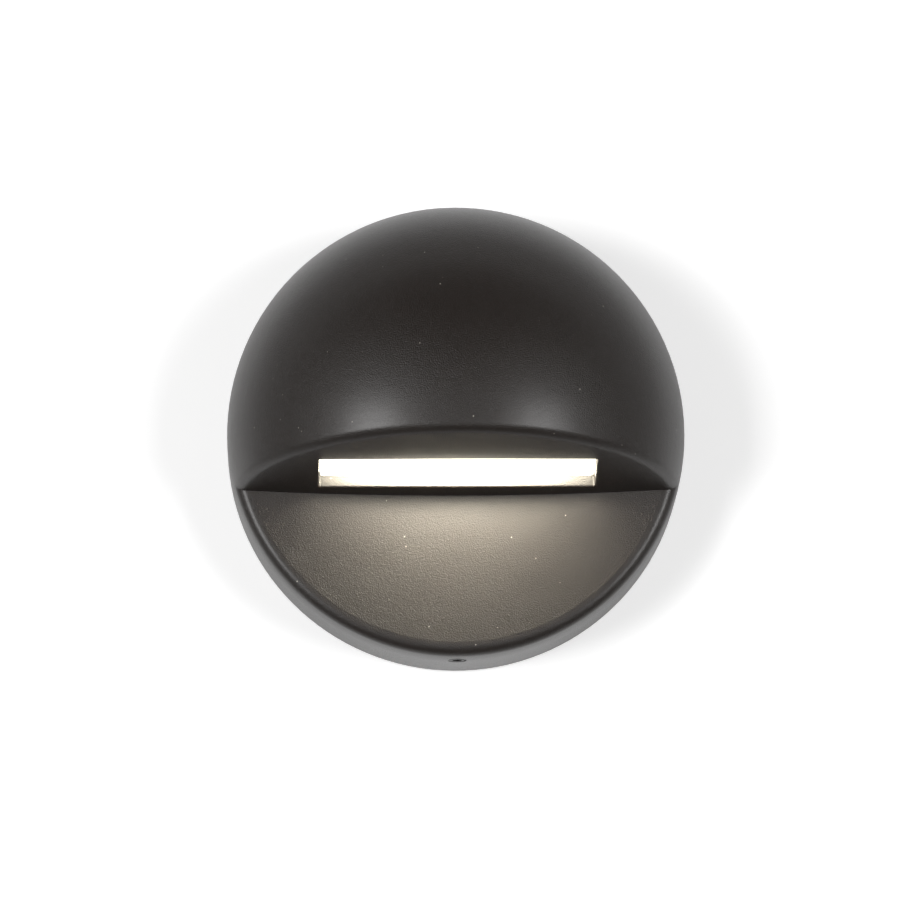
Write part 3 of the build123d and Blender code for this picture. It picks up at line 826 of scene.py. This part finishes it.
@dataclass(frozen=True)
class Studio:
    """The white wall with painted light on it, two soft boxes beside the camera and a dark tent
    round the front.
    """

    wall_size: float = 8.0
    wall_gap: float = 0.3
    wall_white: str = "#F4F4F4"
    wall_glow: float = 0.34
    # The next five fields shape painted light on the wall: its width, a painted shade that dims it
    # outwards in reflections, and a painted light that brightens it far out to the camera.
    painted_light_narrow: float = 1.4
    reflection_shade_span: tuple[float, float] = (0.03, 0.14)
    reflection_shade_levels: tuple[float, float] = (0.97, 0.32)
    far_glow_span: tuple[float, float] = (0.15, 0.5)
    painted_far_glow: float = 3.0
    ambient: float = 0.12
    box_distance: float = 0.9
    box_turn: float = 37.5
    box_rise: float = -4.0
    box_size: tuple[float, float] = (0.32, 0.36)
    box_powers: tuple[float, float] = (5.2, 4.1)
    tent_radius: float = 2.4
    tent_opening: float = 0.03
    tent_tilt: float = 7.0
    tent_colour: str = "#0A0A0A"
    tent_segments: int = 48
    tent_rings: int = 24

    def build(self) -> None:
        """Sets up the world, the wall, the tent and the lamps."""
        self.light_world()
        self.hang_wall()
        self.hang_tent()
        self.hang_boxes()

    def light_world(self) -> None:
        """Sets a world that is white to look at and soft where it lights the object."""
        world = bpy.data.worlds.new("studio")
        bpy.context.scene.world = world
        world.use_nodes = True
        tree = world.node_tree
        tree.nodes.clear()
        seen = self.seen(tree)
        soft = add_node(tree, "Background", {"Color": (1, 1, 1, 1), "Strength": self.ambient})
        white = add_node(tree, "Background", {"Color": (1, 1, 1, 1), "Strength": 1.0})
        mix = add_node(tree, "MixShader", {0: seen, 1: soft.outputs[0], 2: white.outputs[0]})
        add_node(tree, "OutputWorld", {"Surface": mix.outputs[0]})

    def seen(self, tree: bpy.types.NodeTree) -> bpy.types.NodeSocket:
        """Tells rays that look at the background from those that light the object.

        Args:
            tree: the node tree that asks.

        Returns:
            One for a camera, glossy or transmission ray, and nought for the others.
        """
        path = add_node(tree, "LightPath").outputs
        some = add_node(tree, "Math", {0: path["Is Camera Ray"], 1: path["Is Glossy Ray"]},
                        operation="ADD")
        every = add_node(tree, "Math", {0: some.outputs[0], 1: path["Is Transmission Ray"]},
                         operation="ADD", use_clamp=True)
        return every.outputs[0]

    def hang_wall(self) -> bpy.types.Object:
        """Makes the white wall behind the light, clear to a viewer behind it, with painted light in
        its colour and glow.

        Returns:
            The wall.
        """
        bpy.ops.object.select_all(action="DESELECT")
        bpy.ops.mesh.primitive_plane_add(size=self.wall_size, location=(0, self.wall_gap * MM, 0),
                                         rotation=(math.pi / 2, 0, 0))
        wall = bpy.context.object
        wall.name = "wall"
        bpy.ops.object.transform_apply(location=True, rotation=True, scale=True)
        paint = bpy.data.materials.new("White wall paint")
        paint.use_nodes = True
        tree = paint.node_tree
        tree.nodes.clear()
        white = linear(self.wall_white)
        # The wall's colour and glow follow a painted light level: painted shade outwards in
        # reflections, painted light far out to the camera.
        level = self.painted_wall_light(tree)
        grey = add_node(tree, "Mix", {0: level, 6: (0, 0, 0, 1), 7: white}, data_type="RGBA")
        matt = add_node(tree, "BsdfDiffuse", {"Color": grey.outputs[2]})
        glow = add_node(tree, "Emission", {"Color": (self.wall_glow,) * 3 + (1,),
                                           "Strength": level})
        lit = add_node(tree, "AddShader", {0: matt.outputs[0], 1: glow.outputs[0]})
        clear = add_node(tree, "BsdfTransparent")
        behind = add_node(tree, "NewGeometry").outputs["Backfacing"]
        mix = add_node(tree, "MixShader", {0: behind, 1: lit.outputs[0], 2: clear.outputs[0]})
        add_node(tree, "OutputMaterial", {"Surface": mix.outputs[0]})
        wall.data.materials.append(paint)
        wall.visible_diffuse = False
        wall.visible_shadow = False
        return wall

    def painted_wall_light(self, tree: bpy.types.NodeTree) -> bpy.types.NodeSocket:
        """Paints light into the wall by distance from its middle: dimmer outwards in reflections,
        and brighter far out to the camera.

        Args:
            tree: the wall paint's node tree.

        Returns:
            The painted light level: one near the middle, falling outwards in reflections as painted
                shade, and rising far out to the camera as painted light where the lamps' falloff
                would leave the wall dim.
        """
        place = add_node(tree, "TexCoord").outputs["Object"]
        away = add_node(tree, "Mapping", {"Vector": place, "Scale": (self.painted_light_narrow, 1, 1)})
        apart = add_node(tree, "VectorMath", {0: away.outputs[0]}, operation="LENGTH")
        near, far = self.reflection_shade_span
        bright, dim = self.reflection_shade_levels
        # Painted shade: in reflections the wall is painted dimmer outwards from its middle.
        sides = add_node(tree, "MapRange", {"Value": apart.outputs["Value"], "From Min": near,
                                            "From Max": far, "To Min": bright, "To Max": dim})
        # Painted light: to the camera the wall glows brighter far out, where the lamps' light falls
        # off.
        start, end = self.far_glow_span
        plain = add_node(tree, "MapRange", {"Value": apart.outputs["Value"], "From Min": start,
                                            "From Max": end, "To Min": 1.0,
                                            "To Max": self.painted_far_glow})
        mirrored = add_node(tree, "LightPath").outputs["Is Glossy Ray"]
        return add_node(tree, "Mix", {0: mirrored, 2: plain.outputs[0],
                                      3: sides.outputs[0]}).outputs[0]

    def hang_tent(self) -> bpy.types.Object:
        """Makes the dark half-round tent that the dome mirrors, open towards the wall.

        Returns:
            The tent, seen in reflections only.
        """
        bpy.ops.object.select_all(action="DESELECT")
        bpy.ops.mesh.primitive_uv_sphere_add(segments=self.tent_segments,
                                             ring_count=self.tent_rings, radius=self.tent_radius)
        tent = bpy.context.object
        tent.name = "tent"
        with shaping(tent):
            bpy.ops.mesh.bisect(plane_co=(0, -self.tent_opening, 0), clear_outer=True,
                                plane_no=(0, 1, math.tan(math.radians(self.tent_tilt))))
        cloth = bpy.data.materials.new("Black tent cloth")
        cloth.use_nodes = True
        shader = cloth.node_tree.nodes["Principled BSDF"]
        shader.inputs["Base Color"].default_value = linear(self.tent_colour)
        shader.inputs["Roughness"].default_value = 1.0
        tent.data.materials.append(cloth)
        tent.visible_camera = False
        tent.visible_diffuse = False
        tent.visible_shadow = False
        tent.visible_transmission = False
        return tent

    def hang_boxes(self) -> None:
        """Hangs a soft box on each side of the camera."""
        left, right = self.box_powers
        for side, name, power in ((-1, "soft_box_left", left), (1, "soft_box_right", right)):
            lamp = bpy.data.lights.new(name, "AREA")
            lamp.shape = "RECTANGLE"
            lamp.size, lamp.size_y = self.box_size
            lamp.energy = power
            box = bpy.data.objects.new(name, lamp)
            turn = math.radians(self.box_turn)
            rise = math.radians(self.box_rise)
            way = Vector((side * math.sin(turn) * math.cos(rise),
                          -math.cos(turn) * math.cos(rise), math.sin(rise)))
            box.location = way * self.box_distance
            box.rotation_euler = way.to_track_quat("Z", "Y").to_euler()
            bpy.context.scene.collection.objects.link(box)


def main() -> None:
    """Builds the studio and the light's groups in order, and reports each piece."""
    logging.basicConfig(level=logging.INFO, format="%(name)s: %(message)s")
    bpy.context.scene.view_settings.view_transform = "Standard"
    PhotoCamera().place()
    Studio().build()
    for group in (HoodCasting(), LightEngine(), Driver(), RearClosure(), WallFixing(), LockScrew()):
        group.dress()
        for piece in group.build():
            log.info("made %s with %d faces", piece.name, len(piece.data.polygons))


if __name__ == "__main__":
    main()
